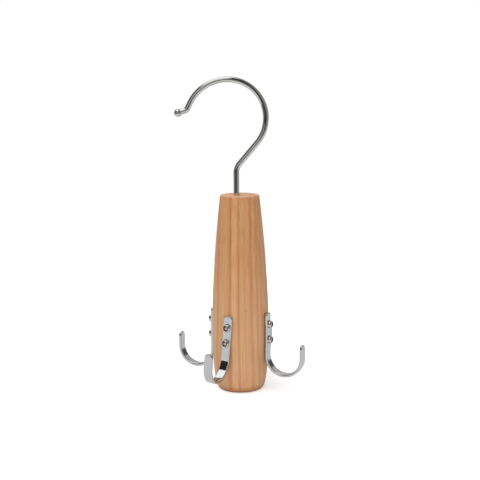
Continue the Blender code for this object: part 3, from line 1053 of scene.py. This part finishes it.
def white_paper(studio):
    """Matt white table paper, whose own white shows to the camera and in the metal, with the shadows kept."""
    material, tree = new_material("matt_white_paper")
    place = add_node(tree, "ShaderNodeTexCoord").outputs["Object"]
    fibre = add_node(tree, "ShaderNodeTexNoise", {"Vector": place, "Scale": 1 / paper_grain}).outputs["Fac"]
    bump = add_node(tree, "ShaderNodeBump", {"Height": fibre, **paper_relief}).outputs["Normal"]
    path = add_node(tree, "ShaderNodeLightPath")
    seen = add_node(
        tree,
        "ShaderNodeMath",
        {0: path.outputs["Is Camera Ray"], 1: path.outputs["Is Transmission Ray"]},
        operation="MAXIMUM",
    ).outputs[0]
    # Towards its edge the paper goes over into the white room, and the metal mirrors less of it.
    from_middle = add_node(tree, "ShaderNodeVectorMath", {0: place}, operation="LENGTH").outputs["Value"]
    white, near = (
        add_node(tree, "ShaderNodeMapRange", {"Value": from_middle, **span}).outputs["Result"]
        for span in (camera_glow, mirrored_glow)
    )
    mirrored = add_node(
        tree, "ShaderNodeMath", {0: path.outputs["Is Glossy Ray"], 1: near}, operation="MULTIPLY"
    ).outputs[0]
    glow = add_node(
        tree, "ShaderNodeMath", {0: seen, 1: white, 2: mirrored}, operation="MULTIPLY_ADD"
    ).outputs[0]
    add_surface(
        tree,
        {
            "Base Color": studio.paper,
            "Roughness": paper_roughness,
            "Specular IOR Level": 0,
            "Normal": bump,
            "Emission Color": linear(plain_white),
            "Emission Strength": glow,
        },
    )
    return material


def add_floor(studio):
    """The round white table that the hanger stands on."""
    shape = bmesh.new()
    bmesh.ops.create_circle(
        shape,
        cap_ends=True,
        segments=body_steps,
        radius=studio.floor_radius,
        matrix=Matrix.Translation((0, 0, -floor_drop)),
    )
    floor = loose_object(shape, "floor")
    floor.data.materials.append(white_paper(studio))


# A full turn in degrees
full_turn = 360
# What the metal mirrors level with it, by the angle in degrees from -Y towards +X: a pale backdrop behind the
# hanger, grey walls, and a black flag and a dark gap on either side of the tall softbox
wall_greys = (
    (-180, 0.80),
    (-120, 0.68),
    (-98, 0.47),
    (-70, 0.32),
    (-44, 0.22),
    (-36, 0.035),
    (-20, 0.035),
    (27, 0.07),
    (42, 0.11),
    (56, 0.18),
    (75, 0.34),
    (120, 0.45),
    (140, 0.62),
    (180, 0.80),
)
# How much of the tall softbox there is by the same angle
tall_softbox_shares = ((-180, 0), (-19, 0), (-15, 1), (24, 1), (29, 0))
# The sine of the height at which the pale ceiling begins, by the same angle
ceiling_edges = (
    (-180, 0.95),
    (-150, 0.80),
    (-125, 0.72),
    (-95, 0.74),
    (-65, 0.79),
    (28, 0.78),
    (45, 0.965),
    (150, 0.965),
    (180, 0.90),
)
# The walls' light, the softbox's brightness and foot, and the lower room's edge, by the sine of the height
wall_tints = ((0.35, "#FFFDF8"), (0.90, "#AFADA8"))
softbox_light = {"To Min": 0.50, "To Max": 1.15}
softbox_foot = {"From Max": 0.04}
lower_edge = {"From Min": -0.05, "From Max": -0.12}
lower_grey = 0.07
# The ceiling's brightness and how softly it begins
ceiling_grey = 1.6
ceiling_blur = {"From Min": -0.04, "From Max": 0.04}
# The dark screen before the backdrop: its angle round and its height, its colour and its soft edge
screen_place = (radians(151), radians(12))
screen_colour = "#59666B"
screen_edge = {"From Min": cos(radians(16)), "From Max": cos(radians(9))}
# The even light that falls on dull surfaces
even_grey = 0.45


def grey(level):
    """A neutral colour, where 1 is white."""
    return (level, level, level, 1)


def round_stops(levels):
    """Colour stops round the room, from angles in degrees and their levels."""
    return [((degrees + full_turn / 2) / full_turn, grey(level)) for degrees, level in levels]


def mirrored_room(tree):
    """The studio as the metal mirrors it: grey walls, a tall softbox beside the camera, a pale ceiling and
    one dark screen before the backdrop."""
    looking = add_node(tree, "ShaderNodeTexCoord").outputs["Generated"]
    parts = add_node(tree, "ShaderNodeSeparateXYZ", {"Vector": looking})
    rise = parts.outputs["Z"]
    forward = add_node(
        tree, "ShaderNodeMath", {0: parts.outputs["Y"], 1: -1}, operation="MULTIPLY"
    ).outputs[0]
    angle_round = add_node(
        tree, "ShaderNodeMath", {0: parts.outputs["X"], 1: forward}, operation="ARCTAN2"
    ).outputs[0]
    turn = add_node(
        tree, "ShaderNodeMapRange", {"Value": angle_round, "From Min": -pi, "From Max": pi}
    ).outputs["Result"]
    walls, softbox_round, ceiling_start = (
        add_node(tree, "ShaderNodeValToRGB", {"Fac": turn}, stops=round_stops(levels)).outputs["Color"]
        for levels in (wall_greys, tall_softbox_shares, ceiling_edges)
    )
    # Higher up, less light reaches the walls.
    wall_light = add_node(
        tree, "ShaderNodeValToRGB", {"Fac": rise}, stops=tint_stops(wall_tints)
    ).outputs["Color"]
    over_edge = add_node(tree, "ShaderNodeMath", {0: rise, 1: ceiling_start}, operation="SUBTRACT").outputs[0]
    at_screen = add_node(
        tree, "ShaderNodeVectorMath", {0: looking, 1: direction(*screen_place)}, operation="DOT_PRODUCT"
    ).outputs["Value"]
    lower_share, softbox_grey, above_floor, ceiling_share, screen_share = (
        add_node(tree, "ShaderNodeMapRange", {"Value": value, **span}).outputs["Result"]
        for value, span in (
            (rise, lower_edge),
            (rise, softbox_light),
            (rise, softbox_foot),
            (over_edge, ceiling_blur),
            (at_screen, screen_edge),
        )
    )
    softbox_share = add_node(
        tree, "ShaderNodeMath", {0: softbox_round, 1: above_floor}, operation="MULTIPLY"
    ).outputs[0]
    # Below the horizon, past the table's edge, some light falls on the floor of the room. The softbox stands
    # on the table's level and is brighter higher up.
    room = walls
    for blend, layer_share, layer in (
        ("MULTIPLY", 1, wall_light),
        ("ADD", lower_share, grey(lower_grey)),
        ("MIX", softbox_share, softbox_grey),
        ("MIX", ceiling_share, grey(ceiling_grey)),
        ("MIX", screen_share, linear(screen_colour)),
    ):
        room = add_node(
            tree, "ShaderNodeMix", {0: layer_share, 6: room, 7: layer}, data_type="RGBA", blend_type=blend
        ).outputs[2]
    return room


def light_room():
    """The room: plain white for the camera, an even light for dull surfaces and the studio for the metal."""
    world = bpy.data.worlds.new("studio")
    bpy.context.scene.world = world
    world.use_nodes = True
    tree = world.node_tree
    tree.nodes.clear()
    path = add_node(tree, "ShaderNodeLightPath")
    shown = grey(even_grey)
    for ray, view in (("Is Glossy Ray", mirrored_room(tree)), ("Is Camera Ray", linear(plain_white))):
        shown = add_node(
            tree, "ShaderNodeMix", {0: path.outputs[ray], 6: shown, 7: view}, data_type="RGBA"
        ).outputs[2]
    background = add_node(tree, "ShaderNodeBackground", {"Color": shown})
    add_node(tree, "ShaderNodeOutputWorld", {"Surface": background.outputs["Background"]})


class HANGER_OT_studio(bpy.types.Operator):
    """Sets up the camera, the floor and the light"""

    bl_idname = "hanger.studio"
    bl_label = "Studio"

    def execute(self, context):
        studio = context.scene.hanger_studio
        context.scene.view_settings.view_transform = "Standard"
        add_camera(studio)
        add_floor(studio)
        for name, (azimuth, elevation, power) in softboxes.items():
            add_softbox(name, studio, direction(azimuth, elevation), power)
        light_room()
        return {"FINISHED"}


class HANGER_PT_panel(bpy.types.Panel):
    """Lists the hanger's pieces and its studio"""

    bl_idname = "HANGER_PT_panel"
    bl_label = "Multi-hook hanger"
    bl_space_type = "VIEW_3D"
    bl_region_type = "UI"
    bl_category = "Hanger"

    def draw(self, context):
        for operator in operators:
            self.layout.operator(operator.bl_idname)


settings_groups = {
    "hanger_body": BodySettings,
    "hanger_wire": WireSettings,
    "hanger_strip": StripSettings,
    "hanger_screws": ScrewSettings,
    "hanger_studio": StudioSettings,
}
operators = (
    HANGER_OT_wooden_body,
    HANGER_OT_swivel_hook,
    HANGER_OT_swivel_brad,
    HANGER_OT_j_hooks,
    HANGER_OT_screws,
    HANGER_OT_studio,
)


def register():
    for name, group in settings_groups.items():
        bpy.utils.register_class(group)
        setattr(bpy.types.Scene, name, bpy.props.PointerProperty(type=group))
    for operator in operators:
        bpy.utils.register_class(operator)
    bpy.utils.register_class(HANGER_PT_panel)


def unregister():
    bpy.utils.unregister_class(HANGER_PT_panel)
    for operator in reversed(operators):
        bpy.utils.unregister_class(operator)
    for name, group in settings_groups.items():
        delattr(bpy.types.Scene, name)
        bpy.utils.unregister_class(group)


def main():
    """Makes every piece and the studio."""
    register()
    bpy.ops.hanger.wooden_body()
    bpy.ops.hanger.swivel_hook()
    bpy.ops.hanger.swivel_brad()
    bpy.ops.hanger.j_hooks()
    bpy.ops.hanger.screws()
    bpy.ops.hanger.studio()


if __name__ == "__main__":
    main()
